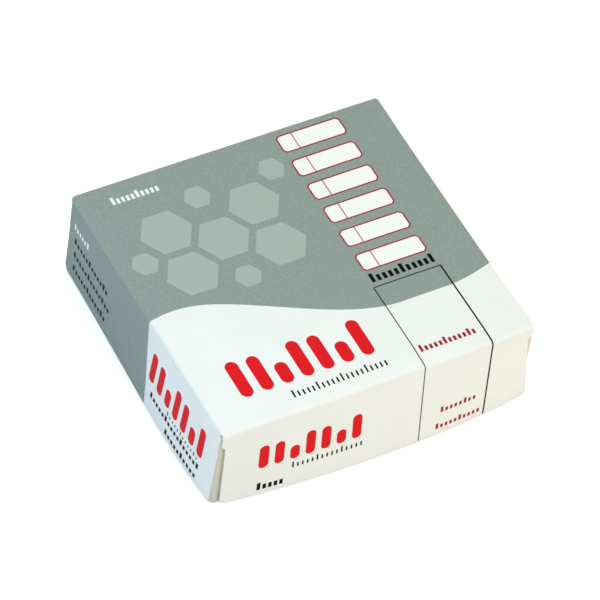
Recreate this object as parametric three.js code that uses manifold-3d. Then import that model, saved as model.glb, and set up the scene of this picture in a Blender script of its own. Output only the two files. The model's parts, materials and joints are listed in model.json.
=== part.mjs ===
// A flat hinged-lid carton that holds seventy-two microscope slides standing on edge.
//
// One die-cut sheet of paperboard folds into two halves. The tray has a floor, four walls
// and corner tabs glued inside its end walls. The full-depth lid has a top, two side
// skirts, a front flap and corner tabs glued inside the flap. The halves share one
// crease, along the rear top edge, and that crease is the hinge.
//
// The flap is held only by its fold and its corner tabs, so its free lower edge bows out.
//
// Frame: millimetres, +Z up. The bench is z = 0, and x = 0 and y = 0 are the middle of
// the folded box. The flap faces -Y, the hinge crease is at +Y, and the slides stand
// across X, one behind the other, with their long edges along Y.

import * as THREE from 'three';
import { mergeVertices } from 'three/addons/utils/BufferGeometryUtils.js';
import Module from 'manifold-3d';

const wasm = await Module();
wasm.setup();

// Glass slides
const slideLength = 75;
const slideHeight = 25;
const slideThickness = 1;
const slideCornerCut = 1.5; // leg of the 45 degree safety corners
const slideGroundEdge = 0.15; // bevel ground round both faces
const slideCount = 72;
const slidesPerNode = 2; // neighbours that lie face to face
const stackGap = 0.3; // air between one group of slides and the next

// Paperboard
const board = 0.5; // thickness of the sheet
const foldInside = 0.25; // inside radius of a scored fold

// Clearances
const stackSlack = 1.35; // last slide to the tray's side wall
const endSlack = 1.8; // slide's end to the tray's corner tabs
const headroom = 0.4; // slides' top edges to the lid
const lidClearance = 0.4; // tray wall to lid skirt or tab
const wallTopGap = 0.5; // tray wall's top to the underside of the lid
const benchGap = 0.5; // bench to the lid's lower edges
const creaseGap = 0.3; // clear width along the hinge crease

// Lid
const flapBow = 3.6; // how far the flap's lower edge has sprung out at mid width
const flapLean = 0.8; // the same, at its two corners
const flapInsetTop = 1; // flap's side edge to the skirt's face, at the fold
const flapInsetBottom = 1.6; // the same, at the flap's lower edge
const flapCornerRadius = 1.2;
const lidTabLength = 13;
const lidTabTaper = 2.5; // how much each end of a tab's free edge is drawn in
const lidTabDrop = 0.6; // tab's upper edge below the start of the front fold
const rearCornerRadius = 1.2; // plan radius of the lid's two corners at the crease
const skirtCornerRadius = 2; // lower rear corner of each skirt
const skirtSplay = 0.7; // how far each skirt's lower front corner stands out; none at the crease
const skirtBulge = 1.2; // how much farther its lower edge stands out between the two
const splayFrom = 30; // distance from the middle at which the front begins to spread with the skirts

// Tray
const trayTabLength = 14;
const wallInset = 0.4; // end wall's side edge to the side wall's face
const wallCornerRadius = 1;

// Detail
const foldSteps = 5;
const bowSteps = 24;
const tabSteps = 6;
const splayPitch = 7; // longest edge in the lid's mesh, which lets it follow the splay
const seam = 1; // how far joined pieces of one sheet run into each other
const margin = 2; // how far a cutting shape runs past what it cuts

// Sizes that follow
const foldOutside = foldInside + board;
const frontFold = foldOutside + board; // the flap wraps round the tabs' folds
const stackLength = slideCount * slideThickness + (slideCount / slidesPerNode - 1) * stackGap;
const trayWidth = stackLength + 2 * (stackSlack + board);
const boxWidth = trayWidth + 2 * (lidClearance + board);
const frontLayers = 4 * board + lidClearance; // flap, lid tab, clearance, tray wall, tray tab
const backLayers = 2 * board; // tray wall, tray tab
const boxDepth = slideLength + 2 * endSlack + frontLayers + backLayers;
const boxHeight = 2 * board + slideHeight + headroom;

// Places that follow
const lidSide = boxWidth / 2;
const traySide = trayWidth / 2;
const frontY = -boxDepth / 2;
const backY = boxDepth / 2;
const trayFrontY = frontY + 2 * board + lidClearance;
const trayWallTop = boxHeight - board - wallTopGap;
const creaseSetback = creaseGap / Math.SQRT2; // each half's edge to the hinge line
const slideMidY = (frontY + frontLayers + backY - backLayers) / 2;

const paperboard = { color: 0xe9ebe6, roughness: 0.62, metalness: 0 };
const glass = { color: 0xd3e6de, roughness: 0.06, metalness: 0, transparent: true, opacity: 0.5 };

const axisX = new THREE.Vector3(1, 0, 0);
const axisY = new THREE.Vector3(0, 1, 0);
const axisZ = new THREE.Vector3(0, 0, 1);

/** A point of a section or an outline. */
const at = (a, b) => new THREE.Vector2(a, b);

/** The path with each of its inner corners replaced by an arc. */
function roundedPath(corners, radius) {
  return corners.flatMap((corner, index) => {
    const isEnd = index === 0 || index === corners.length - 1;
    if (isEnd || radius <= 0) return [corner];
    const back = corners[index - 1].clone().sub(corner).normalize();
    const ahead = corners[index + 1].clone().sub(corner).normalize();
    const half = Math.acos(THREE.MathUtils.clamp(back.dot(ahead), -1, 1)) / 2;
    const toCentre = back.clone().add(ahead).setLength(radius / Math.sin(half));
    const centre = corner.clone().add(toCentre);
    const start = corner.clone().addScaledVector(back, radius / Math.tan(half)).sub(centre);
    const turn = Math.sign(ahead.cross(back)) * (Math.PI - 2 * half);
    return Array.from({ length: foldSteps + 1 }, (_, step) =>
      start.clone().rotateAround(at(0, 0), (turn * step) / foldSteps).add(centre));
  });
}

/** The path moved to its right by a distance, with its corners kept sharp. */
function offsetPath(corners, distance) {
  const normals = corners.slice(1).map((corner, index) => {
    const along = corner.clone().sub(corners[index]).normalize();
    return at(along.y, -along.x);
  });
  return corners.map((corner, index) => {
    const before = normals[Math.max(index - 1, 0)];
    const after = normals[Math.min(index, normals.length - 1)];
    const scale = distance / (1 + before.dot(after));
    return corner.clone().addScaledVector(before.clone().add(after), scale);
  });
}

/** Section of the board folded along a path, which is its outer face; the board is to the right. */
function foldedSection(corners, outerRadius) {
  const outer = roundedPath(corners, outerRadius);
  const inner = roundedPath(offsetPath(corners, board), outerRadius - board);
  return [...outer, ...inner.reverse()];
}

/** Geometry of an outline carried along X, its points being (y, z). */
function alongX(points, from, to, steps = 1) {
  const geometry = extrusion(points, to - from, steps);
  geometry.applyMatrix4(new THREE.Matrix4().makeBasis(axisY, axisZ, axisX));
  return geometry.translate(from, 0, 0);
}

/** Geometry of an outline carried along Y, its points being (x, z). */
function alongY(points, from, to) {
  const geometry = extrusion(points, to - from, 1);
  geometry.applyMatrix4(new THREE.Matrix4().makeBasis(axisX, axisZ, axisY.clone().negate()));
  return geometry.translate(0, to, 0);
}

/** Geometry of an outline carried along Z, its points being (x, y). */
function alongZ(points, from, to) {
  return extrusion(points, to - from, 1).translate(0, 0, from);
}

function extrusion(points, depth, steps) {
  return new THREE.ExtrudeGeometry(new THREE.Shape(points), { depth, steps, bevelEnabled: false });
}

/** The geometry as a manifold-3d solid, for joining and cutting. */
function solid(geometry) {
  const bare = geometry.clone();
  bare.deleteAttribute('normal');
  bare.deleteAttribute('uv');
  const merged = mergeVertices(bare);
  return new wasm.Manifold(new wasm.Mesh({
    numProp: 3,
    vertProperties: new Float32Array(merged.attributes.position.array),
    triVerts: new Uint32Array(merged.index.array),
  }));
}

/** The solid as a three.js geometry. */
function geometryOf(body) {
  const { vertProperties, triVerts } = body.getMesh();
  const geometry = new THREE.BufferGeometry();
  geometry.setAttribute('position', new THREE.BufferAttribute(new Float32Array(vertProperties), 3));
  geometry.setIndex(new THREE.BufferAttribute(new Uint32Array(triVerts), 1));
  geometry.computeVertexNormals();
  return geometry;
}

function joined(bodies) {
  return bodies.reduce((whole, body) => whole.add(body));
}

/** How far the point (x, z) of the front has sprung out of its flat place. */
function bowAt(x, z) {
  const halfWidth = lidSide - foldOutside;
  const foldZ = boxHeight - frontFold;
  const across = Math.max(0, 1 - (x / halfWidth) ** 2);
  const corner = THREE.MathUtils.clamp((lidSide - Math.abs(x)) / foldOutside, 0, 1);
  const down = THREE.MathUtils.clamp((foldZ - z) / (foldZ - benchGap), 0, 1);
  return (flapLean * corner + (flapBow - flapLean) * across) * down;
}

/** The geometry, with its points moved out by the bow. */
function bowed(geometry) {
  const position = geometry.attributes.position;
  for (let i = 0; i < position.count; i += 1) {
    position.setY(i, position.getY(i) - bowAt(position.getX(i), position.getZ(i)));
  }
  return geometry;
}

/** A panel of the front, bowed, and cut to an outline of (x, z) points. */
function bowedPanel(section, outline, from, to, steps) {
  const panel = bowed(alongX(section, from, to, steps));
  const cutter = alongY(outline, frontY - flapBow - margin, frontY + frontFold + margin);
  return solid(panel).intersect(solid(cutter));
}

/** An upright corner fold: a side's sheet turned inwards behind an end wall, as a tab. */
function cornerFold({ side, end, halfWidth, faceY, length, bottom, top }) {
  const path = [
    at(side * (halfWidth - length), faceY),
    at(side * halfWidth, faceY),
    at(side * halfWidth, faceY - end * (foldOutside + seam)),
  ];
  if (side !== end) path.reverse();
  return alongZ(foldedSection(path, foldOutside), bottom, top);
}

/** Top and side skirts in one folded channel, cut back round the hinge crease. */
function lidChannel() {
  const channel = solid(alongY(foldedSection([
    at(-lidSide, benchGap),
    at(-lidSide, boxHeight),
    at(lidSide, boxHeight),
    at(lidSide, benchGap),
  ], foldOutside), frontY + frontFold, backY));

  const plan = roundedPath([
    at(-lidSide, frontY),
    at(-lidSide, backY),
    at(lidSide, backY),
    at(lidSide, frontY),
  ], rearCornerRadius);

  const creaseY = backY - creaseSetback;
  const skirtRearY = creaseY - board;
  const profile = [
    at(creaseY + margin, boxHeight + margin),
    ...roundedPath([
      at(skirtRearY, boxHeight - board),
      at(skirtRearY, benchGap),
      at(frontY, benchGap),
    ], skirtCornerRadius),
    at(frontY, boxHeight + margin),
  ];
  return channel
    .intersect(solid(alongZ(plan, 0, boxHeight + margin)))
    .intersect(solid(alongX(profile, -lidSide - margin, lidSide + margin)));
}

/** The front flap: folded down from the top, bowed, with tapered sides and round corners. */
function lidFlap() {
  const section = foldedSection([
    at(frontY, benchGap),
    at(frontY, boxHeight),
    at(frontY + frontFold + seam, boxHeight),
  ], frontFold);
  const outline = roundedPath([
    at(-lidSide + flapInsetTop, boxHeight + margin),
    at(-lidSide + flapInsetTop, boxHeight - frontFold),
    at(-lidSide + flapInsetBottom, benchGap),
    at(lidSide - flapInsetBottom, benchGap),
    at(lidSide - flapInsetTop, boxHeight - frontFold),
    at(lidSide - flapInsetTop, boxHeight + margin),
  ], flapCornerRadius);
  return bowedPanel(section, outline, -lidSide + flapInsetTop, lidSide - flapInsetTop, bowSteps);
}

/** A skirt's corner tab, glued along the inside of the bowed flap. */
function lidTab(side) {
  const top = boxHeight - frontFold - lidTabDrop;
  const fold = bowed(cornerFold({
    side,
    end: -1,
    halfWidth: lidSide,
    faceY: frontY + board,
    length: foldOutside + seam,
    bottom: benchGap,
    top,
  }));

  const glueLineY = frontY + board / 2; // the tab runs into the flap where they are glued
  const innerY = frontY + 2 * board;
  const section = [
    at(glueLineY, benchGap),
    at(innerY, benchGap),
    at(innerY, top),
    at(glueLineY, top),
  ];
  const root = side * (lidSide - foldOutside);
  const tip = side * (lidSide - lidTabLength);
  const outline = roundedPath([
    at(root, top),
    at(tip, top - lidTabTaper),
    at(tip, benchGap + lidTabTaper),
    at(root, benchGap),
  ], wallCornerRadius);
  const ends = [root, tip].sort((a, b) => a - b);
  return solid(fold).add(bowedPanel(section, outline, ends[0], ends[1], tabSteps));
}

/** How far the lid has spread sideways at a point: most low down, and some way behind the front. */
function splayAt(x, y, z) {
  const foldZ = boxHeight - foldOutside;
  const share = THREE.MathUtils.clamp;
  const out = share((Math.abs(x) - splayFrom) / (lidSide - foldOutside - splayFrom), 0, 1);
  const forward = share((backY - y) / boxDepth, 0, 1);
  const down = share((foldZ - z) / (foldZ - benchGap), 0, 1);
  const spread = skirtSplay * forward + skirtBulge * Math.sin(Math.PI * forward ** 2);
  return Math.sign(x) * spread * out * down;
}

/** The lid, folded and glued, with its skirts splayed a little towards the front. */
function lidSolid() {
  const folded = joined([lidChannel(), lidFlap(), lidTab(-1), lidTab(1)]);
  return folded.refineToLength(splayPitch).warp((point) => {
    point[0] += splayAt(point[0], point[1], point[2]);
  });
}

/** Floor and side walls of the tray in one folded channel. */
function trayChannel() {
  const section = foldedSection([
    at(traySide, trayWallTop),
    at(traySide, 0),
    at(-traySide, 0),
    at(-traySide, trayWallTop),
  ], foldOutside);
  return solid(alongY(section, trayFrontY + board + foldOutside, backY - board - foldOutside));
}

/** Outline, as (x, z) points, of the tray's front or back wall, drawn in at its lower fold. */
function endWallOutline(top) {
  const upper = traySide - wallInset;
  const lower = traySide - foldOutside;
  const half = [at(upper, top), at(upper, foldOutside), at(lower, 0), at(lower, -margin)];
  const otherHalf = half.map((point) => at(-point.x, point.y)).reverse();
  return roundedPath([...otherHalf, ...half], wallCornerRadius);
}

/** A wall folded up from the tray's floor, cut to its outline. */
function endWall(section, top) {
  const reach = traySide - wallInset;
  const wall = solid(alongX(section, -reach, reach));
  return wall.intersect(solid(alongY(endWallOutline(top), frontY, backY + margin)));
}

function trayFrontWall() {
  const section = foldedSection([
    at(trayFrontY + foldOutside + board + seam, 0),
    at(trayFrontY, 0),
    at(trayFrontY, trayWallTop),
  ], foldOutside);
  return endWall(section, trayWallTop);
}

/** The back wall runs up to the hinge crease, where its top is mitred to meet the lid. */
function trayBackWall() {
  const top = boxHeight - creaseSetback;
  const section = foldedSection([
    at(backY, top),
    at(backY, 0),
    at(backY - foldOutside - board - seam, 0),
  ], foldOutside);
  const mitre = [
    at(backY + margin, boxHeight + margin),
    at(backY + margin, -margin),
    at(frontY, -margin),
    at(frontY, trayWallTop),
    at(backY - board, top - board),
    at(backY, top),
  ];
  return endWall(section, top).intersect(solid(alongX(mitre, -traySide, traySide)));
}

function trayTab(side, end) {
  return solid(cornerFold({
    side,
    end,
    halfWidth: traySide,
    faceY: end < 0 ? trayFrontY + board : backY - board,
    length: trayTabLength,
    bottom: foldOutside,
    top: trayWallTop,
  }));
}

function traySolid() {
  const tabs = [-1, 1].flatMap((side) => [trayTab(side, -1), trayTab(side, 1)]);
  return joined([trayChannel(), trayFrontWall(), trayBackWall(), ...tabs]);
}

/** Face of a slide as (y, z) points, with cut corners, drawn in from its edges by an inset. */
function slideOutline(inset) {
  const y = slideLength / 2 - inset;
  const z = slideHeight / 2 - inset;
  const cut = slideCornerCut - inset * (2 - Math.SQRT2);
  return [
    at(y, -z + cut), at(y, z - cut), at(y - cut, z), at(-y + cut, z),
    at(-y, z - cut), at(-y, -z + cut), at(-y + cut, -z), at(y - cut, -z),
  ];
}

/** Slides that lie face to face, as one closed body with a ground edge round every face. */
function slideGroupGeometry() {
  const rings = [];
  for (let slide = 0; slide < slidesPerNode; slide += 1) {
    const near = slide * slideThickness;
    const far = near + slideThickness;
    if (slide === 0) rings.push([near, slideGroundEdge]);
    rings.push([near + slideGroundEdge, 0], [far - slideGroundEdge, 0], [far, slideGroundEdge]);
  }
  const outlines = rings.map(([x, inset]) => slideOutline(inset).map((p) => [x, p.x, p.y]));
  const count = outlines[0].length;
  const faces = [];
  for (let ring = 1; ring < rings.length; ring += 1) {
    for (let i = 0; i < count; i += 1) {
      const here = ring * count + i;
      const next = ring * count + ((i + 1) % count);
      faces.push(here - count, next - count, next, here - count, next, here);
    }
  }
  const last = (rings.length - 1) * count;
  for (let i = 1; i < count - 1; i += 1) {
    faces.push(0, i + 1, i, last, last + i, last + i + 1);
  }
  const geometry = new THREE.BufferGeometry();
  geometry.setAttribute('position', new THREE.Float32BufferAttribute(outlines.flat(2), 3));
  geometry.setIndex(faces);
  geometry.computeVertexNormals();
  return geometry;
}

function addMesh(group, name, geometry, finish) {
  const mesh = new THREE.Mesh(geometry, new THREE.MeshStandardMaterial(finish));
  mesh.name = name;
  group.add(mesh);
  return mesh;
}

function buildSlides() {
  const stack = new THREE.Group();
  stack.position.set(-stackLength / 2, slideMidY, board + slideHeight / 2);
  const geometry = slideGroupGeometry();
  const pitch = slidesPerNode * slideThickness + stackGap;
  for (let index = 0; index < slideCount / slidesPerNode; index += 1) {
    const name = `slide_pair_${String(index + 1).padStart(2, '0')}`;
    addMesh(stack, name, geometry, glass).position.x = index * pitch;
  }
  return stack;
}

const box = new THREE.Group();
addMesh(box, 'tray', geometryOf(traySolid()), paperboard);
addMesh(box, 'lid', geometryOf(lidSolid()), paperboard);
box.add(buildSlides());

export default box;
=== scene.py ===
"""A printed paperboard box of microscope slides, with a hinged lid.

The box is one die-cut blank of coated board. Each half of it is built here as a sheet: points
of the flat blank are folded to their places, on the printed face and on the inner face, and the
two faces and the cut edges between them make one closed mesh. Every point keeps its place on
the flat blank, so that the print runs over the folds as it does on the press sheet.

Lengths are in millimetres until a mesh is made, and in metres after that.
"""

import json
import logging
import math
import random
from abc import ABC, abstractmethod
from collections.abc import Callable, Iterable, Sequence
from dataclasses import dataclass
from enum import Enum
from functools import reduce
from typing import Any

import bpy
from mathutils import Matrix, Vector, noise


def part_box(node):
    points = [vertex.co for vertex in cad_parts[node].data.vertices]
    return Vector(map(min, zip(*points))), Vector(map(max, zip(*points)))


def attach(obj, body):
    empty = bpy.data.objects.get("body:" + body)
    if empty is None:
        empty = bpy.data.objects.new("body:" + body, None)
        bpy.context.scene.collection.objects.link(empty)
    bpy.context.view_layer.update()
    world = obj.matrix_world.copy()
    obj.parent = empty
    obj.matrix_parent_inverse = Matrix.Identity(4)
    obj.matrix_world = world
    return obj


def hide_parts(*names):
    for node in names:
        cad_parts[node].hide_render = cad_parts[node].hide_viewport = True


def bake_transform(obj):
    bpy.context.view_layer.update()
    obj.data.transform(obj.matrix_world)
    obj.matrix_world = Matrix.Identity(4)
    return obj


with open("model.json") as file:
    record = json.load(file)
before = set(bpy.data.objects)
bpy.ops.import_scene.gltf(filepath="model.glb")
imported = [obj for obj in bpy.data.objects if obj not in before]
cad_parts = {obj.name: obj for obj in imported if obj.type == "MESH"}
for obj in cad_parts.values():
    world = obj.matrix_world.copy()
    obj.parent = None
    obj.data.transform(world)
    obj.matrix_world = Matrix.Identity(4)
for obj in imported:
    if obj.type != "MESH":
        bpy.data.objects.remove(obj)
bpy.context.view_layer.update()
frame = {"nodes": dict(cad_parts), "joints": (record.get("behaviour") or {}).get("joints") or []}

log = logging.getLogger("slide_box")

MM = 0.001
BLANK_MAP = "Blank"  # UV map: millimetres across and along the flat blank
WEAR_MAP = "Wear"  # UV map: how hard the board is bent here, from 0 to 1, and nothing
WARP_SEED = 2  # makes the board's unevenness the same at every run
WELDS_PER_MM = 2000  # places nearer together than one of these are one place
CLOSE = 1e-6  # lengths that differ by less are equal

Colour = tuple[float, float, float]
Pair = tuple[float, float]
Face = tuple[int, ...]
Socket = bpy.types.NodeSocket
Piece = bpy.types.Object
Finishes = Sequence[bpy.types.Material]


def srgb(*levels: int) -> Colour:
    """Turns a screen's colour into linear light.

    Args:
        *levels: Red, green and blue, from 0 to 255.

    Returns:
        The three linear values.
    """
    shares = [level / 255 for level in levels]
    red, green, blue = (s / 12.92 if s <= 0.04045 else ((s + 0.055) / 1.055) ** 2.4 for s in shares)
    return red, green, blue


def clamp(value: float) -> float:
    """Holds a value between 0 and 1."""
    return min(max(value, 0.0), 1.0)


def ease(share: float) -> float:
    """A smooth step from 0 to 1 as its share goes from 0 to 1."""
    held = clamp(share)
    return held * held * (3 - 2 * held)


def spread(start: float, end: float, count: int) -> list[float]:
    """Evenly spaced values from start to end, with a count of steps between them."""
    return [start + (end - start) * step / count for step in range(count + 1)]


def chain(*stretches: Sequence[float]) -> list[float]:
    """Joins stretches of values, each of which begins with the last value of the one before."""
    return [*stretches[0], *(value for stretch in stretches[1:] for value in stretch[1:])]


def mirrored(half: Sequence[float]) -> list[float]:
    """Values that rise from 0, with their negatives before them."""
    return [*(-value for value in reversed(half[1:])), *half]


def add_object(name: str, data: bpy.types.ID, place: Matrix | None = None) -> bpy.types.Object:
    """Adds an object to the scene.

    Args:
        name: Its name.
        data: Its mesh, lamp or camera.
        place: Where it is, in metres, or nothing if that is the middle.

    Returns:
        The object.
    """
    added = bpy.data.objects.new(name, data)
    if place is not None:
        added.matrix_world = place
    bpy.context.scene.collection.objects.link(added)
    return added


def make_piece(
    name: str, places: Iterable[Vector], faces: Sequence[Face], slots: Sequence[int],
    finishes: Finishes, sharp: float = 30.0,
) -> Piece:
    """Makes a mesh and its object.

    Args:
        name: The piece's name.
        places: Its points, in millimetres.
        faces: Its faces, as the numbers of their points.
        slots: Each face's number among the finishes.
        finishes: Its materials.
        sharp: The bend in degrees above which an edge is sharp.

    Returns:
        The piece, in metres.
    """
    mesh = bpy.data.meshes.new(name)
    mesh.from_pydata([place * MM for place in places], [], faces)
    for finish in finishes:
        mesh.materials.append(finish)
    mesh.polygons.foreach_set("material_index", slots)
    mesh.validate()
    mesh.shade_smooth()
    mesh.set_sharp_from_angle(angle=math.radians(sharp))
    return add_object(name, mesh)


# --------------------------------------------------------------------------------------------------
# Folded board
# --------------------------------------------------------------------------------------------------


@dataclass(frozen=True)
class Fold:
    """A scored right-angle fold, with an outside radius."""

    radius: float

    @property
    def arc(self) -> float:
        """Length of the fold round its outside."""
        return self.radius * math.pi / 2

    def walk(self, distance: float, depth: float) -> Pair:
        """Finds the place a distance past the fold's start.

        Args:
            distance: Along the printed face from the start of the fold, and negative before it.
            depth: Into the board from the printed face.

        Returns:
            How far on in the first panel's direction, and how far down in the second panel's.
        """
        if distance <= 0:
            return distance, depth
        if distance >= self.arc:
            return self.radius - depth, self.radius + distance - self.arc
        angle = distance / self.radius
        inside = self.radius - depth
        return inside * math.sin(angle), self.radius - inside * math.cos(angle)

    def wear(self, distance: float) -> float:
        """How hard the board is bent a distance past the fold's start, from 0 to 1."""
        share = distance / self.arc
        return math.sin(math.pi * share) ** 2 if 0 < share < 1 else 0.0


@dataclass(frozen=True)
class BlankPoint:
    """One point of the board, on its flat blank and on both faces of the folded box."""

    across: float
    along: float
    outer: Vector
    inner: Vector
    wear: float = 0.0


Rows = Sequence[Sequence[BlankPoint]]


class Side(Enum):
    """The two sides of the box, as the sign of X."""

    LEFT = -1
    RIGHT = 1


class End(Enum):
    """The two ends of the tray, as the sign of Y."""

    FRONT = -1
    BACK = 1


def grid(
    rows: Iterable[float], columns: Sequence[float], point: Callable[[float, float], BlankPoint]
) -> Rows:
    """A panel's points, where its rows and columns cross."""
    return [[point(row, column) for column in columns] for row in rows]


def round_corner(point: Pair, corner: Pair, inwards: Pair, radius: float) -> Pair:
    """Moves a point of a panel's square corner so that the corner becomes round.

    Args:
        point: A place on the flat blank.
        corner: The sharp corner that it may be near.
        inwards: The signs of the two directions that lead from there into the panel.
        radius: Radius of the arc.

    Returns:
        The point where the die cuts a round corner, or the same point if it is away from there.
    """
    centre = [sharp + way * radius for sharp, way in zip(corner, inwards)]
    reach = [(middle - at) * way for at, middle, way in zip(point, centre, inwards)]
    if min(reach) <= 0 or max(reach) > radius + CLOSE:
        return point
    scale = max(reach) / math.hypot(*reach)
    x, y = (middle + (at - middle) * scale for at, middle in zip(point, centre))
    return x, y


class Sheet:
    """Board folded from its flat blank, as one closed mesh in the making."""

    sharp = 38.0  # degrees of bend above which an edge is sharp

    def __init__(self, *panels: Rows) -> None:
        """Joins panels wherever their points meet.

        Args:
            *panels: Each in rows of equal length, over the flat blank.
        """
        self.points: list[BlankPoint] = []
        self.faces: list[Face] = []
        self._known: dict[Face, int] = {}
        for rows in panels:
            numbers = [[self._index(point) for point in row] for row in rows]
            for near, far in zip(numbers, numbers[1:]):
                for left in range(len(near) - 1):
                    self._add_face((near[left], near[left + 1], far[left + 1], far[left]))

    def _index(self, point: BlankPoint) -> int:
        """The number of a point, which it shares with one already in the same place.

        Args:
            point: A point of a panel.

        Returns:
            Its number in the sheet.
        """
        key = tuple(round(value * WELDS_PER_MM) for value in point.outer)
        if key not in self._known:
            self._known[key] = len(self.points)
            self.points.append(point)
        return self._known[key]

    def _add_face(self, corners: Face) -> None:
        """Adds a face of the printed side, turned so that it faces out.

        Args:
            corners: The numbers of its corners, in order round it.
        """
        ring = tuple(dict.fromkeys(corners))
        if len(ring) < 3:
            return
        first, second, third = (self.points[number].outer for number in ring[:3])
        outwards = first - self.points[ring[0]].inner
        faces_out = (second - first).cross(third - first).dot(outwards) > 0
        self.faces.append(ring if faces_out else ring[::-1])

    def make(self, name: str, finishes: Finishes) -> Piece:
        """Closes the sheet with its inner face and its cut edges.

        Args:
            name: The piece's name.
            finishes: The printed face's, the inner face's and the cut edges' materials.

        Returns:
            The finished piece, in metres.
        """
        count = len(self.points)
        inner = [tuple(number + count for number in reversed(face)) for face in self.faces]
        edges = self._cut_edges(count)
        places = [point.outer for point in self.points] + [point.inner for point in self.points]
        slots = [0] * len(self.faces) + [1] * len(inner) + [2] * len(edges)
        piece = make_piece(name, places, self.faces + inner + edges, slots, finishes, self.sharp)
        self._map(piece, BLANK_MAP, [(point.across, point.along) for point in self.points])
        self._map(piece, WEAR_MAP, [(point.wear, 0.0) for point in self.points])
        return piece

    def _cut_edges(self, count: int) -> list[Face]:
        """Faces of the die-cut edges, which join the two faces of the sheet.

        Args:
            count: How many points the printed face has.

        Returns:
            The faces.
        """
        once: dict[frozenset[int], tuple[int, int]] = {}
        for face in self.faces:
            for start, end in zip(face, face[1:] + face[:1]):
                key = frozenset((start, end))
                if key in once:
                    del once[key]
                else:
                    once[key] = (start, end)
        return [(end, start, start + count, end + count) for start, end in once.values()]

    def _map(self, piece: Piece, name: str, values: Sequence[Pair]) -> None:
        """Stores a pair of numbers for each point as a UV map.

        Args:
            piece: The sheet's piece.
            name: The UV map's name.
            values: The pairs, one for each point of the printed face.
        """
        layer = piece.data.uv_layers.new(name=name)
        for loop in piece.data.loops:
            layer.data[loop.index].uv = values[loop.vertex_index % len(values)]


@dataclass
class Carton:
    """Sizes that both halves of the box share, and the die-cut rules."""

    half_width: float
    front: float
    back: float
    height: float
    board: float = 0.5
    side_fold: Fold = Fold(0.75)
    front_fold: Fold = Fold(1.25)
    glue_line: float = 0.05  # between a tab and the panel it is glued to
    crease_reach: float = 1.2  # from the hinge to where the crease strip meets each half
    warp_length: float = 34.0  # from one hollow of the uneven board to the next
    warp_fade: Pair = (2.5, 14.0)  # distances from the hinge at which it starts and is full

    @property
    def hinge(self) -> Vector:
        """The middle of the hinge line."""
        return Vector((0, self.back, self.height))

    @property
    def tab_fold(self) -> Fold:
        """The fold of a side into its glued corner tab."""
        return Fold(self.side_fold.radius - self.glue_line)

    def warp(self, place: Vector, amount: float, seed: float) -> Vector:
        """The slight unevenness of thin board, which draws its faces in a little.

        Args:
            place: A point of the folded box.
            amount: The largest shift.
            seed: Sets one half of the box apart from the other.

        Returns:
            The shift, which fades out at the hinge.
        """
        start, full = self.warp_fade
        away = math.hypot(place.y - self.back, place.z - self.height)
        share = ease((away - start) / (full - start))
        waves = noise.noise_vector(place / self.warp_length + Vector((seed, 2 * seed, 3 * seed)))
        reach = (self.half_width, self.back, self.height)
        return Vector([
            -at / far * amount * share * clamp(0.5 + wave)
            for at, far, wave in zip(place, reach, waves)
        ])


@dataclass
class Half(ABC):
    """Half of the box: a channel, which is a flat panel with two sides, and what joins it."""

    carton: Carton

    @property
    @abstractmethod
    def flat_half(self) -> float:
        """Half the width of the channel's flat panel."""

    @abstractmethod
    def columns(self) -> list[float]:
        """Places across the blank of the lines of the mesh, from side to side."""

    @abstractmethod
    def turned(self, height: float) -> float:
        """Changes a height into a distance from the channel's flat panel, and back."""

    @abstractmethod
    def shift_at(self, place: Vector) -> Vector:
        """How far the board has moved from its true place."""

    def across_at(self, height: float) -> float:
        """Distance across the blank at which a side is at a height."""
        fold = self.carton.side_fold
        return self.flat_half + fold.arc - fold.radius + self.turned(height)

    def height_at(self, across: float) -> float:
        """Z of a side's printed face at a distance across the blank."""
        fold = self.carton.side_fold
        return self.turned(across - self.flat_half - fold.arc + fold.radius)

    def heights_past(self, start: float) -> list[float]:
        """Heights of the lines of the mesh on a side's edge, from a height on."""
        first = self.across_at(start) - CLOSE
        return [self.height_at(across) for across in self.columns() if across >= first]

    def channel_place(self, across: float, y: float, depth: float) -> Vector:
        """Folded place of a point of the flat panel or of a side."""
        on, off = self.carton.side_fold.walk(abs(across) - self.flat_half, depth)
        return Vector((math.copysign(self.flat_half + on, across), y, self.turned(off)))

    def point(
        self, across: float, along: float, place: Callable[[float], Vector], wear: float
    ) -> BlankPoint:
        """A point of the board.

        Args:
            across: Its place across the blank.
            along: Its place along the blank.
            place: Gives its folded place at a depth into the board.
            wear: How hard the board is bent here.

        Returns:
            The point on both faces, moved as the board has moved.
        """
        outer = place(0.0)
        shift = self.shift_at(outer)
        return BlankPoint(across, along, outer + shift, place(self.carton.board) + shift, wear)


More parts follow.
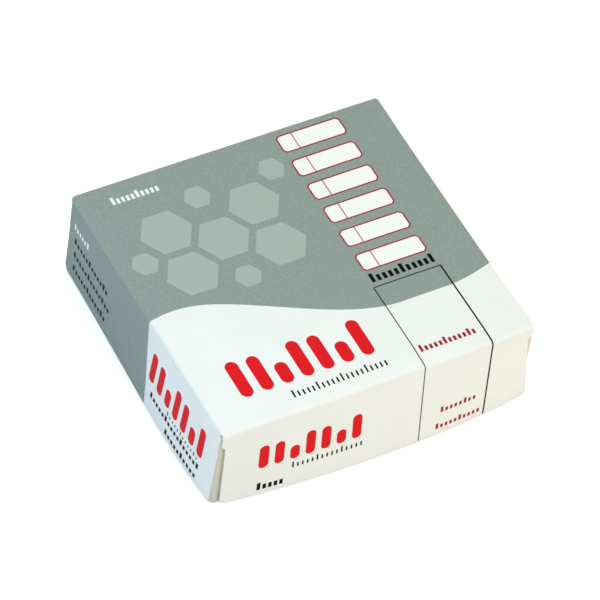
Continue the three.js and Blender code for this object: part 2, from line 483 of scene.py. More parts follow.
@dataclass
class Lid(Half):
    """The lid: a top, two skirts, a front flap that bows out, and two tabs glued inside it."""

    bow: float
    lean: float = 0.8  # how far the flap's lower corners have sprung out with it
    bench_gap: float = 0.5  # from the bench up to the lid's lower edges
    left_inset: Pair = (1.2, 2.1)  # flap's side edge to the skirt's face, at its fold and its foot
    right_inset: Pair = (2.2, -0.2)  # the flap hangs a little askew
    splay: float = 0.7  # how far the skirts' lower front corners stand out
    bulge: float = 1.2  # how much farther their lower edges stand out behind those
    splay_from: float = 30.0  # distance from the middle at which the front begins to spread
    sag: float = 0.4  # how far the middle of the top's front edge has sunk
    sag_reach: float = 7.0  # how far behind that edge the sag begins
    flap_corner: float = 1.2
    left_hold: float = 2.6  # how far below its fold the flap's left side wraps round the corner
    right_hold: float = 1.1
    flap_settle: float = 1.4  # distance from there to where its side edges lie flat
    tab_rise: float = 0.6  # tab's upper edge above the start of the flap, at the tab's fold
    tab_drop: float = 0.6  # the same edge below it, farther in
    drop_reach: float = 1.5  # from the tab's fold to where the edge has dropped
    tab_length: float = 13.0
    tab_taper: float = 2.5
    tab_corner: float = 1.6
    tab_slack: float = 0.3  # how far a tab's lower end hangs back from the flap, beside the glue
    glue_start: float = 5.0  # from a tab's fold to where it is glued down flat
    skirt_corner: float = 2.0
    unevenness: float = 0.24
    warp_seed: float = 1.7
    fold_steps: int = 8
    fine_edge: float = 3.0  # width beside a skirt's fold in which the mesh is finer
    fine_tab_end: float = 2.0  # length of a tab's end in which it is finer too

    @property
    def flat_half(self) -> float:
        """Half the width of the flat part of the top."""
        return self.carton.half_width - self.carton.side_fold.radius

    @property
    def fold_line(self) -> float:
        """Y of the line where the flap's fold and the tabs' folds begin."""
        return self.carton.front + self.carton.front_fold.radius

    @property
    def rear_end(self) -> float:
        """Y at which the lid's sheet ends and the crease begins."""
        return self.carton.back - self.carton.crease_reach

    @property
    def skirt_end(self) -> float:
        """Distance from the middle of the blank to a skirt's lower edge."""
        return self.across_at(self.bench_gap)

    @property
    def tab_top(self) -> float:
        """Height of a tab's upper edge at its fold."""
        return self.carton.height - self.carton.front_fold.radius + self.tab_rise

    def turned(self, height: float) -> float:
        """Changes a height into a distance below the top, and back."""
        return self.carton.height - height

    def columns(self) -> list[float]:
        """Places across the blank of the lines of the mesh, from skirt to skirt.

        Returns:
            The places, from the left to the right.
        """
        folded = self.flat_half + self.carton.side_fold.arc
        fine, tab = self.flat_half - self.fine_edge, self.across_at(self.tab_top)
        corner = self.skirt_end - self.skirt_corner
        return mirrored(chain(
            spread(0, fine, 18),
            spread(fine, self.flat_half, 4),
            spread(self.flat_half, folded, self.fold_steps),
            [folded, tab],
            spread(tab, corner, 9),
            spread(corner, self.skirt_end, 5),
        ))

    def bow_at(self, x: float, z: float, free: float = 0.0) -> float:
        """How far a place on the front has sprung out from its flat place.

        Args:
            x: Distance from the middle.
            z: Height.
            free: How far the place has left the corner fold, from 0 to 1, whatever its x.

        Returns:
            The distance forwards.
        """
        fold_end = self.carton.height - self.carton.front_fold.radius
        across = max(0.0, 1 - (x / self.flat_half) ** 2)
        corner = max(free, clamp((self.carton.half_width - abs(x)) / self.carton.side_fold.radius))
        down = clamp((fold_end - z) / (fold_end - self.bench_gap))
        return (self.lean * corner + (self.bow - self.lean) * across) * down

    def splay_at(self, place: Vector) -> float:
        """How far the lid has spread sideways: most low down, and some way behind the front.

        Args:
            place: A point of the folded lid.

        Returns:
            The shift along X.
        """
        carton = self.carton
        fold_end = carton.height - carton.side_fold.radius
        out = clamp((abs(place.x) - self.splay_from) / (self.flat_half - self.splay_from))
        forward = clamp((carton.back - place.y) / (carton.back - carton.front))
        down = clamp((fold_end - place.z) / (fold_end - self.bench_gap))
        spread_here = self.splay * forward + self.bulge * math.sin(math.pi * forward**2)
        return math.copysign(spread_here * out * down, place.x)

    def sag_at(self, place: Vector) -> float:
        """How far the lid has sunk: most at the middle of the top's front edge.

        Args:
            place: A point of the folded lid.

        Returns:
            The distance down.
        """
        across = max(0.0, 1 - (place.x / self.flat_half) ** 2)
        behind = (place.y - self.carton.front) / self.sag_reach
        return self.sag * across * ease(1 - behind) * clamp(place.z / self.carton.height)

    def shift_at(self, place: Vector) -> Vector:
        """How far the board has moved: its splay, its sag and its unevenness."""
        moved = Vector((self.splay_at(place), 0, -self.sag_at(place)))
        return self.carton.warp(place, self.unevenness, self.warp_seed) + moved

    def channel(self) -> Rows:
        """The top and both skirts, in rows from front to back.

        Returns:
            The rows.
        """
        start, end, fold = self.fold_line, self.rear_end, self.carton.side_fold

        def point(share: float, across: float) -> BlankPoint:
            """The point at a share of the way from front to back.

            Args:
                share: Where its row is.
                across: Its column, as a place across the blank.

            Returns:
                The point.
            """
            side = math.copysign(1, across)
            place = (across, start + (end - start) * share)
            x, y = round_corner(place, (side * self.skirt_end, end), (-side, -1), self.skirt_corner)
            wear = fold.wear(abs(x) - self.flat_half)
            return self.point(x, y, lambda depth: self.channel_place(x, y, depth), wear)

        shares = chain(spread(0, 0.09, 9), spread(0.09, 0.96, 28), spread(0.96, 1, 6))
        return grid(shares, self.columns(), point)

    def settled_at(self, across: float, distance: float) -> float:
        """How far a side of the flap has left the corner, past the start of its fold."""
        hold = self.left_hold if across < 0 else self.right_hold
        return ease((distance - self.carton.front_fold.arc - hold) / self.flap_settle)

    def flap_place(self, across: float, x: float, distance: float, depth: float) -> Vector:
        """Folded and bowed place of a point of the flap.

        Args:
            across: Column of the mesh, as a place across the blank.
            x: Where the column runs once the flap is flat.
            distance: Past the start of the flap's fold.
            depth: Into the board from the printed face.

        Returns:
            The place, which at the flap's root follows the fold of the lid's side as well.
        """
        carton = self.carton
        settled = self.settled_at(across, distance)
        on, under = carton.side_fold.walk(abs(across) - self.flat_half, depth)
        rolled = math.copysign(self.flat_half + on, across)
        placed = rolled * (1 - settled) + x * settled
        sunk = under * (1 - settled) + depth * settled
        forward, down = carton.front_fold.walk(distance, 0.0)
        turn = min(distance / carton.front_fold.radius, math.pi / 2)
        z = carton.height - down
        face = Vector((placed, self.fold_line - forward - self.bow_at(placed, z, settled), z))
        return face + Vector((0, math.sin(turn), -math.cos(turn))) * sunk

    def flap(self) -> Rows:
        """The front flap, in rows down from the top's front edge.

        Returns:
            The rows.
        """
        carton, arc = self.carton, self.carton.front_fold.arc
        length = arc + carton.height - carton.front_fold.radius - self.bench_gap
        root = self.flat_half + carton.side_fold.arc / 2
        right, left = arc + self.right_hold, arc + self.left_hold
        settled, corner = left + self.flap_settle, length - self.flap_corner

        def point(distance: float, across: float) -> BlankPoint:
            """The point in a column of the mesh, a distance past the start of the fold.

            Args:
                distance: Where its row is.
                across: Its column, as a place across the blank.

            Returns:
                The point.
            """
            side = math.copysign(1, across)
            high, low = self.left_inset if across < 0 else self.right_inset
            share = clamp((distance - arc) / (length - arc))
            half = carton.half_width - high + (high - low) * share
            place = (across * half / root, distance)
            x, down = round_corner(place, (side * half, length), (-side, -1), self.flap_corner)
            free = self.settled_at(across, down)
            return self.point(
                across * (1 - free) + x * free,
                self.fold_line - down,
                lambda depth: self.flap_place(across, x, down, depth),
                carton.front_fold.wear(down),
            )

        distances = chain(
            spread(0, arc, self.fold_steps),
            spread(arc, right, 2),
            spread(right, left, 6),
            spread(left, settled, 6),
            spread(settled, corner, 11),
            spread(corner, length, 5),
        )
        return grid(distances, [at for at in self.columns() if abs(at) <= root + CLOSE], point)

    def tab_place(self, side: Side, distance: float, z: float, depth: float) -> Vector:
        """Folded place of a point of a tab, past the skirt's front edge.

        Args:
            side: The tab's side of the box.
            distance: How far past that edge.
            z: Height.
            depth: Into the board from the printed face.

        Returns:
            The place, which follows the flap from behind.
        """
        carton = self.carton
        on, inwards = carton.tab_fold.walk(distance, depth)
        x = side.value * (carton.half_width - inwards)
        inside = carton.front_fold.radius - carton.board
        fold_end = carton.height - carton.front_fold.radius
        above = clamp((z - fold_end) / inside)
        room = inside * math.sqrt(1 - above * above) - carton.glue_line + depth
        loose = 1 - ease((distance - carton.tab_fold.arc) / self.glue_start)
        slack = self.tab_slack * loose * clamp((fold_end - z) / fold_end)
        sprung = max(self.bow_at(x, z) - slack, 0.0)
        return Vector((x, self.fold_line - min(on, room) - sprung, z))

    def tab(self, side: Side) -> Rows:
        """A skirt's tab, glued behind the flap, in rows away from the skirt.

        Args:
            side: The tab's side of the box.

        Returns:
            The rows.
        """
        foot, top, arc = self.bench_gap, self.tab_top, self.carton.tab_fold.arc
        length = arc + self.tab_length - self.carton.side_fold.radius
        end = length - self.fine_tab_end

        def point(distance: float, height: float) -> BlankPoint:
            """The point past the skirt's front edge, in line with a height on that edge.

            Args:
                distance: How far past that edge.
                height: The height in line with it.

            Returns:
                The point.
            """
            taper = self.tab_taper * max(distance - arc, 0) / (length - arc)
            fall = (self.tab_rise + self.tab_drop) * ease(distance / (arc + self.drop_reach))
            low, high = foot + taper, top - fall - taper
            level = low + (high - low) * (height - foot) / (top - foot)
            upper = level >= (low + high) / 2
            corner, inwards = (length, high if upper else low), (-1, -1 if upper else 1)
            out, z = round_corner((distance, level), corner, inwards, self.tab_corner)
            return self.point(
                side.value * self.across_at(z),
                self.fold_line - out,
                lambda depth: self.tab_place(side, out, z, depth),
                self.carton.tab_fold.wear(out),
            )

        distances = chain(
            spread(0, arc, self.fold_steps), spread(arc, end, 8), spread(end, length, 5)
        )
        return grid(distances, self.heights_past(top), point)

    def build(self, finishes: Finishes) -> Piece:
        """Makes the lid, which rides on the lid's body.

        Args:
            finishes: The printed face's, the inner face's and the cut edges' materials.

        Returns:
            The piece.
        """
        sheet = Sheet(self.channel(), self.flap(), *(self.tab(side) for side in Side))
        piece = sheet.make("lid_board", finishes)
        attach(piece, "lid")
        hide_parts("lid")
        return piece


@dataclass
class Tray(Half):
    """The tray: a floor, four walls and four tabs glued inside the end walls."""

    half_width: float
    front: float
    wall_top: float = 25.4
    wall_inset: float = 0.4  # end wall's side edge to the side wall's face
    wall_corner: float = 1.0
    tab_length: float = 14.0
    tab_corner: float = 1.0
    unevenness: float = 0.16
    warp_seed: float = 5.3
    fold_steps: int = 7

    @property
    def flat_half(self) -> float:
        """Half the width of the flat part of the floor."""
        return self.half_width - self.carton.side_fold.radius

    @property
    def back_fold_end(self) -> float:
        """Distance along the blank at which the back wall's fold ends and the floor begins."""
        fold = self.carton.side_fold
        return self.carton.back + self.carton.height - fold.radius + fold.arc

    def along_floor(self, y: float) -> float:
        """Distance along the blank of a place on the floor."""
        return self.back_fold_end + self.carton.back - self.carton.side_fold.radius - y

    def side_line(self, end: End) -> float:
        """Y of the line where the side walls' tab folds begin at an end."""
        reach = self.carton.board + self.carton.side_fold.radius
        return self.front + reach if end is End.FRONT else self.carton.back - reach

    def turned(self, height: float) -> float:
        """A height, which is the distance above the floor as well."""
        return height

    def columns(self) -> list[float]:
        """Places across the blank of the lines of the mesh, from wall top to wall top.

        Returns:
            The places, from the left to the right.
        """
        folded = self.flat_half + self.carton.side_fold.arc
        return mirrored(chain(
            spread(0, self.flat_half, 14),
            spread(self.flat_half, folded, self.fold_steps),
            spread(folded, self.across_at(self.wall_top), 10),
        ))

    def shift_at(self, place: Vector) -> Vector:
        """How far the board has moved: its unevenness, which keeps the floor on the bench.

        Args:
            place: A point of the folded tray.

        Returns:
            The shift.
        """
        shift = self.carton.warp(place, self.unevenness, self.warp_seed)
        shift.z = 0.0
        return shift

    def channel(self) -> Rows:
        """The floor and both side walls, in rows from front to back.

        Returns:
            The rows.
        """
        def point(y: float, across: float) -> BlankPoint:
            """The point of the floor or of a side wall at a place along the box.

            Args:
                y: Its place along the box.
                across: Its place across the blank.

            Returns:
                The point.
            """
            return self.point(
                across,
                self.along_floor(y),
                lambda depth: self.channel_place(across, y, depth),
                self.carton.side_fold.wear(abs(across) - self.flat_half),
            )

        ends = (self.side_line(end) for end in End)
        return grid(spread(*ends, 26), self.columns(), point)

    def end_wall(self, end: End) -> Rows:
        """The front or the back wall, in rows from the floor's end up to the wall's top.

        Args:
            end: Which of the two walls.

        Returns:
            The rows.
        """
        carton, fold, flat = self.carton, self.carton.side_fold, self.carton.board
        start, folded = self.side_line(end), flat + fold.arc
        top = self.wall_top if end is End.FRONT else carton.height - carton.crease_reach
        length = folded + top - fold.radius
        radius = self.wall_corner if end is End.FRONT else 0.0

        def point(distance: float, across: float) -> BlankPoint:
            """The point in a column of the mesh, a distance up from where the floor ends.

            Args:
                distance: How far up from there.
                across: Its column, as a place across the blank.

            Returns:
                The point.
            """
            side = math.copysign(1, across)
            widening = self.half_width - self.wall_inset - self.flat_half
            half = self.flat_half + widening * clamp((distance - flat) / fold.arc)
            place = (across * half / self.flat_half, distance)
            x, up = round_corner(place, (side * half, length), (-side, -1), radius)

            def folded_place(depth: float) -> Vector:
                """The place at a depth into the board."""
                on, rise = fold.walk(up - flat, depth)
                return Vector((x, start + end.value * (flat + on), rise))

            along = self.along_floor(start) - end.value * up
            return self.point(x, along, folded_place, fold.wear(up - flat))

        corner = length - self.wall_corner
        distances = chain(
            [0, flat], spread(flat, folded, self.fold_steps), spread(folded, corner, 9),
            spread(corner, length, 4),
        )
        inside = [at for at in self.columns() if abs(at) <= self.flat_half + CLOSE]
        return grid(distances, inside, point)

    def tab(self, side: Side, end: End) -> Rows:
        """A side wall's tab, glued inside an end wall, in rows away from the side wall.

        Args:
            side: The side wall.
            end: The end wall.

        Returns:
            The rows.
        """
        fold, foot, start = self.carton.tab_fold, self.carton.side_fold.radius, self.side_line(end)
        length = fold.arc + self.tab_length - foot

        def point(distance: float, height: float) -> BlankPoint:
            """The point past the side wall's edge, at a height.

            Args:
                distance: How far past that edge.
                height: Its height.

            Returns:
                The point.
            """
            upper = height > (foot + self.wall_top) / 2
            corner, inwards = (length, self.wall_top if upper else foot), (-1, -1 if upper else 1)
            out, z = round_corner((distance, height), corner, inwards, self.tab_corner)

            def folded_place(depth: float) -> Vector:
                """The place at a depth into the board."""
                on, inside = fold.walk(out, depth)
                return Vector((side.value * (self.half_width - inside), start + end.value * on, z))

            along = self.along_floor(start) - end.value * out
            return self.point(side.value * self.across_at(z), along, folded_place, fold.wear(out))

        corner = length - self.tab_corner
        distances = chain(
            spread(0, fold.arc, self.fold_steps),
            spread(fold.arc, corner, 6),
            spread(corner, length, 4),
        )
        return grid(distances, self.heights_past(foot), point)

    def build(self, finishes: Finishes) -> Piece:
        """Makes the tray, which rides on the tray's body.

        Args:
            finishes: The printed face's, the inner face's and the cut edges' materials.

        Returns:
            The piece.
        """
        panels = [self.channel()]
        for end in End:
            panels += [self.end_wall(end), *(self.tab(side, end) for side in Side)]
        piece = Sheet(*panels).make("tray_board", finishes)
        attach(piece, "tray")
        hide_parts("tray")
        return piece


@dataclass
class HingeCrease:
    """The strip of the same board at the hinge, folded from the tray's back wall over to the lid's
    top.
    """

    lid: Lid
    tray: Tray
    bend_reach: float = 0.4  # a distance to each side of the mitre; the two places that build finds from it are not used
    wear_reach: float = 0.6  # how far the wear runs to each side of the hinge
    columns: int = 48
    steps: int = 10

    def half_at(self, distance: float) -> float:
        """Half the strip's width at a distance from the hinge, negative on the tray's side.

        Args:
            distance: From the hinge along the printed face.

        Returns:
            Half the width.
        """
        carton = self.lid.carton
        narrow = self.tray.half_width - self.tray.wall_inset
        left = clamp(1 - distance / carton.crease_reach)
        return narrow + (carton.half_width - narrow) * math.sqrt(1 - left * left)

    def place(self, share: float, distance: float, depth: float) -> Vector:
        """Folded place of a point of the strip.

        Args:
            share: Place across the strip, from -1 to 1.
            distance: From the hinge along the printed face, negative on the tray's side.
            depth: Into the board from the printed face.

        Returns:
            The place.
        """
        carton = self.lid.carton
        x, radius = share * self.half_at(distance), carton.side_fold.radius
        past = max(abs(x) - self.lid.flat_half, 0.0)
        rolled = radius * math.asin(min(past / radius, 1.0))
        across = math.copysign(min(abs(x), self.lid.flat_half) + rolled, x)
        reach = carton.crease_reach
        from_hinge = depth + abs(distance) * (reach - depth) / reach
        if distance < 0:
            return Vector((x, carton.back - depth, carton.height - from_hinge))
        return self.lid.channel_place(across, carton.back - from_hinge, depth)

    def point(self, distance: float, share: float) -> BlankPoint:
        """A point of the strip, at a distance from the hinge and a share of its half width.

        Args:
            distance: From the hinge along the printed face.
            share: Place across the strip, from -1 to 1.

        Returns:
            The point.
        """
        carton = self.lid.carton
        outer, inner = (self.place(share, distance, depth) for depth in (0.0, carton.board))
        wear = max(0.0, 1 - abs(distance) / self.wear_reach)
        return BlankPoint(outer.x, carton.back - distance, outer, inner, wear)

    def build(self, finishes: Finishes) -> Piece:
        """Makes the strip between the tray's back wall and the lid's top, fixed in its closed
        place.

        Args:
            finishes: The printed face's, the inner face's and the cut edges' materials.

        Returns:
            The piece.
        """
        carton = self.lid.carton
        distances = spread(-carton.crease_reach, carton.crease_reach, 2 * self.steps)
        rows = grid(distances, spread(-1, 1, self.columns), self.point)
        piece = Sheet(rows).make("hinge_crease", finishes)
        across_mitre = Vector((0, -1, 1)).normalized() * self.bend_reach
        start = (carton.hinge - across_mitre) * MM
        end = (carton.hinge + across_mitre) * MM
        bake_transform(piece)
        return piece


# --------------------------------------------------------------------------------------------------
# Glass slides
# --------------------------------------------------------------------------------------------------


@dataclass
class SlideStack:
    """Seventy-two plain slides on edge, with ground edges and cut corners, two to each node."""

    corner_cut: float = 1.5
    ground_edge: float = 0.15
    edge_steps: int = 3
    play: float = 0.35  # how far a slide may lie off its place along the tray
    air: float = 0.02  # beside each slide of a pair
    per_node: int = 2
    seed: int = 72
    sharp: float = 25.0  # degrees of bend above which an edge is sharp

    def rings(self, thickness: float) -> list[Pair]:
        """Places through a slide's thickness, each with how far its outline is drawn in there.

        Args:
            thickness: The slide's thickness.

        Returns:
            The places and the insets, from one face to the other.
        """
        near = [
            (self.ground_edge * (1 - math.cos(angle)), self.ground_edge * (1 - math.sin(angle)))
            for angle in spread(0, math.pi / 2, self.edge_steps)
        ]
        return near + [(thickness - through, inset) for through, inset in reversed(near)]

    def outline(self, half_y: float, half_z: float, inset: float) -> list[Pair]:
        """The slide's face, with its corners cut at 45 degrees, drawn in by an inset.

        Args:
            half_y: Half the slide's length.
            half_z: Half its height.
            inset: How far the outline is drawn in.

        Returns:
            The eight corners, in order round the slide.
        """
        y, z = half_y - inset, half_z - inset
        cut = self.corner_cut - inset * (2 - math.sqrt(2))
        upper = [(y, z - cut), (y - cut, z), (-y + cut, z), (-y, z - cut)]
        return upper + [(-a, -b) for a, b in upper]

    def add_slide(self, places: list[Vector], faces: list[Face], low: Vector, high: Vector) -> None:
        """Adds one slide, as one closed body, to a mesh in the making.

        Args:
            places: The mesh's points.
            faces: The mesh's faces.
            low: The slide's lowest corner.
            high: The slide's highest corner.
        """
        middle, half, first = (low + high) / 2, (high - low) / 2, len(places)
        count = len(self.outline(half.y, half.z, 0))
        for through, inset in self.rings(high.x - low.x):
            for y, z in self.outline(half.y, half.z, inset):
                places.append(Vector((low.x + through, middle.y + y, middle.z + z)))
        last = len(places) - count
        for start in range(first, last, count):
            for corner in range(count):
                here, after = start + corner, start + (corner + 1) % count
                faces.append((here, after, after + count, here + count))
        faces.append(tuple(range(first + count - 1, first - 1, -1)))
        faces.append(tuple(range(last, last + count)))

    def build_node(self, node: str, finishes: Finishes, chance: random.Random) -> Piece:
        """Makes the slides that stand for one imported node.

        Args:
            node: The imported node.
            finishes: The clear faces' and the ground edges' materials.
            chance: Gives each slide its own place along the tray.

        Returns:
            The piece, riding on the tray's body.
        """
        low, high = (Vector(corner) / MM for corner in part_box(node))
        thickness = (high.x - low.x) / self.per_node
        places: list[Vector] = []
        faces: list[Face] = []
        for slide in range(self.per_node):
            shift = chance.uniform(-self.play, self.play)
            near = Vector((low.x + slide * thickness, low.y + shift, low.z))
            far = Vector((near.x + thickness - self.air, high.y + shift, high.z))
            self.add_slide(places, faces, near, far)
        slots = [int(len(face) == 4) for face in faces]  # a clear face has eight corners
        name = node.replace("slide_pair", "slides")
        piece = make_piece(name, places, faces, slots, finishes, self.sharp)
        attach(piece, "tray")
        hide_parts(node)
        return piece

    def build(self, finishes: Finishes) -> list[Piece]:
        """Makes every slide.

        Args:
            finishes: The clear faces' and the ground edges' materials.

        Returns:
            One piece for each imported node.
        """
        chance = random.Random(self.seed)
        nodes = sorted(name for name in frame["nodes"] if name.startswith("slide_pair"))
        return [self.build_node(node, finishes, chance) for node in nodes]


# --------------------------------------------------------------------------------------------------
# Shader maths
# --------------------------------------------------------------------------------------------------


class Value:
    """A number that varies over a surface: a socket whose arithmetic adds Math nodes."""

    def __init__(self, nodes: "Nodes", socket: Socket) -> None:
        """Wraps an output socket of a node tree."""
        self.nodes = nodes
        self.socket = socket

    def math(self, operation: str, *others: "Value | float") -> "Value":
        """The result of a Math node whose first input is this value."""
        return self.nodes.math(operation, self, *others)

    def __add__(self, other: "Value | float") -> "Value":
        """This value plus another."""
        return self.math("ADD", other)

    __radd__ = __add__

    def __sub__(self, other: "Value | float") -> "Value":
        """This value less another."""
        return self.math("SUBTRACT", other)

    def __rsub__(self, other: float) -> "Value":
        """A number less this value."""
        return self.nodes.math("SUBTRACT", other, self)

    def __mul__(self, other: "Value | float") -> "Value":
        """This value times another."""
        return self.math("MULTIPLY", other)

    __rmul__ = __mul__

    def __truediv__(self, other: "Value | float") -> "Value":
        """This value divided by another."""
        return self.math("DIVIDE", other)

    def __rtruediv__(self, other: float) -> "Value":
        """A number divided by this value."""
        return self.nodes.math("DIVIDE", other, self)

    def __mod__(self, other: "Value | float") -> "Value":
        """This value's remainder, which is never negative."""
        return self.math("FLOORED_MODULO", other)

    def __rmod__(self, other: float) -> "Value":
        """A number's remainder, which is never negative."""
        return self.nodes.math("FLOORED_MODULO", other, self)

    def __abs__(self) -> "Value":
        """This value without its sign."""
        return self.math("ABSOLUTE")

    def floor(self) -> "Value":
        """The whole number at or below this value."""
        return self.math("FLOOR")

    def at_least(self, other: "Value | float") -> "Value":
        """The larger of this value and another."""
        return self.math("MAXIMUM", other)

    def at_most(self, other: "Value | float") -> "Value":
        """The smaller of this value and another."""
        return self.math("MINIMUM", other)


def largest(values: Iterable[Value]) -> Value:
    """The largest of several values, which shows any one of several masks."""
    return reduce(Value.at_least, values)


@dataclass(frozen=True)
class Grain:
    """Noise over a surface: how fine it is, and how many finer layers it has and how strong."""

    scale: float
    detail: float
    roughness: float = 0.5


@dataclass(frozen=True)
class Relief:
    """A surface's relief: how much of it is felt, and its full height in millimetres."""

    strength: float
    height: float


class Nodes:
    """A node tree in the making."""

    def __init__(self, tree: bpy.types.NodeTree) -> None:
        """Starts with a tree as it is."""
        self.tree = tree

    def node(
        self,
        kind: str,
        settings: dict[str, Any] | None = None,
        inputs: dict[Any, Any] | None = None,
    ) -> bpy.types.Node:
        """Adds a node.

        Args:
            kind: The node's type.
            settings: Its own settings, which are made first.
            inputs: Its sockets' values or links, by name or number.

        Returns:
            The node.
        """
        node = self.tree.nodes.new(kind)
        for name, setting in (settings or {}).items():
            setattr(node, name, setting)
        for key, value in (inputs or {}).items():
            self.feed(node, key, value)
        return node

    def feed(self, node: bpy.types.Node, key: str | int, value: Any) -> None:
        """Links or sets one input of a node.

        Args:
            node: The node.
            key: The socket's name or number.
            value: A Value, an output socket, a number, a colour or a vector.
        """
        socket = node.inputs[key]
        source = value.socket if isinstance(value, Value) else value
        if isinstance(source, Socket):
            self.tree.links.new(source, socket)
        else:
            socket.default_value = (*source, 1.0) if socket.type == "RGBA" else source

    def value(
        self, kind: str, settings: dict[str, Any], inputs: dict[Any, Any], output: int | str = 0
    ) -> Value:
        """Adds a node and returns one of its outputs as a Value."""
        return Value(self, self.node(kind, settings, inputs).outputs[output])

    def math(self, operation: str, *inputs: Value | float) -> Value:
        """The result of a Math node."""
        return self.value("ShaderNodeMath", {"operation": operation}, dict(enumerate(inputs)))

    def mix(self, share: Value | float, first: Any, second: Any) -> Socket:
        """Mixes two colours.

        Args:
            share: How much of the second colour shows.
            first: A colour, or a socket that gives one.
            second: Another.

        Returns:
            The mixed colour's socket.
        """
        colours = {0: share, 6: first, 7: second}
        return self.node("ShaderNodeMix", {"data_type": "RGBA"}, colours).outputs[2]

    def seen(self) -> Value:
        """1 for rays that show a surface to the camera, straight on or in gloss or glass.

        Returns:
            The value.
        """
        path = self.node("ShaderNodeLightPath")
        rays = ("Is Camera Ray", "Is Glossy Ray", "Is Transmission Ray")
        return largest(Value(self, path.outputs[ray]) for ray in rays)


class Finish(Nodes):
    """A material in the making: a node tree round one Principled shader."""

    def __init__(self, name: str) -> None:
        """Starts a material that has only its shader.

        Args:
            name: The material's name.
        """
        self.material = bpy.data.materials.new(name)
        self.material.use_nodes = True
        super().__init__(self.material.node_tree)
        self.shader = self.tree.nodes["Principled BSDF"]

    def place(self) -> Socket:
        """The surface's own place, in metres."""
        return self.node("ShaderNodeTexCoord").outputs["Object"]

    def grain(self, where: Socket, grain: Grain) -> Value:
        """Noise over a surface, round 0.5, at some coordinates."""
        look = {"Scale": grain.scale, "Detail": grain.detail, "Roughness": grain.roughness}
        return self.value("ShaderNodeTexNoise", {}, {"Vector": where, **look}, "Fac")

    def map_place(self, name: str) -> tuple[Value, Value]:
        """The two numbers that a mesh keeps in one of its UV maps.

        Args:
            name: The UV map's name.

        Returns:
            The two values.
        """
        source = self.node("ShaderNodeUVMap", {"uv_map": name})
        parts = self.node("ShaderNodeSeparateXYZ", {}, {0: source.outputs[0]})
        return Value(self, parts.outputs[0]), Value(self, parts.outputs[1])

    def bump(self, height: Value, relief: Relief) -> None:
        """Gives the surface a relief, from heights between 0 and 1."""
        inputs = {"Height": height, "Strength": relief.strength, "Distance": relief.height * MM}
        self.surface(Normal=self.node("ShaderNodeBump", {}, inputs).outputs[0])

    def surface(self, **sockets: Any) -> None:
        """Sets or links the shader's sockets, with underscores for the spaces in their names."""
        for name, value in sockets.items():
            self.feed(self.shader, name.replace("_", " "), value)


# --------------------------------------------------------------------------------------------------
# Print
# --------------------------------------------------------------------------------------------------


class Ink(Enum):
    """The inks, as they look on the coated board."""

    GREY = srgb(135, 149, 145)
    PALE_GREY = srgb(162, 174, 169)
    WHITE = srgb(236, 240, 237)
    RED = srgb(215, 28, 35)
    DEEP_RED = srgb(158, 30, 46)
    BLACK = srgb(6, 8, 7)


class Run(Enum):
    """Which way a panel's print reads on the flat blank."""

    ACROSS = "across"  # as seen from the front: the top and the flap
    LEFT_SKIRT = "left skirt"  # from the back to the front, with its top towards the lid's top


@dataclass(frozen=True)
class ScaleRow:
    """A short graduated scale, of the kind that a rule or a stage micrometer has."""

    run: Run
    start: float
    base: float
    marks: int
    height: float
    ink: Ink
    pitch: float = 1.35
    line: float = 0.78
    major: int = 5  # every so many lines, one is longer
    short: float = 0.68  # height of a shorter line, as a share of the row's height
    spare: float = 0.0

    @property
    def length(self) -> float:
        """Length of the whole row."""
        return self.marks * self.pitch


@dataclass(frozen=True)
class TubeRow:
    """A row of upright round-ended bars on one base line, of rising and falling heights."""

    run: Run
    start: float
    base: float
    length: float
    height: float
    bars: int = 7
    thickness: float = 0.31  # a bar's radius, as a share of the pitch
    turn: float = 2.1  # radians of the wave of heights from one bar to the next
    first_turn: float = 0.6
    swing: float = 0.24  # how far the heights rise and fall, as a share of the row's height
    spare: float = 1.0  # room above and below the row

    @property
    def pitch(self) -> float:
        """From one bar to the next."""
        return self.length / self.bars


@dataclass(frozen=True)
class Ramp:
    """A smooth rise, or fall, of a wavy line between two places across the blank."""

    start: float
    end: float
    rise: float


@dataclass(frozen=True)
class Cell:
    """One six-sided cell of the pale pattern on the grey field."""

    across: float
    along: float
    radius: float


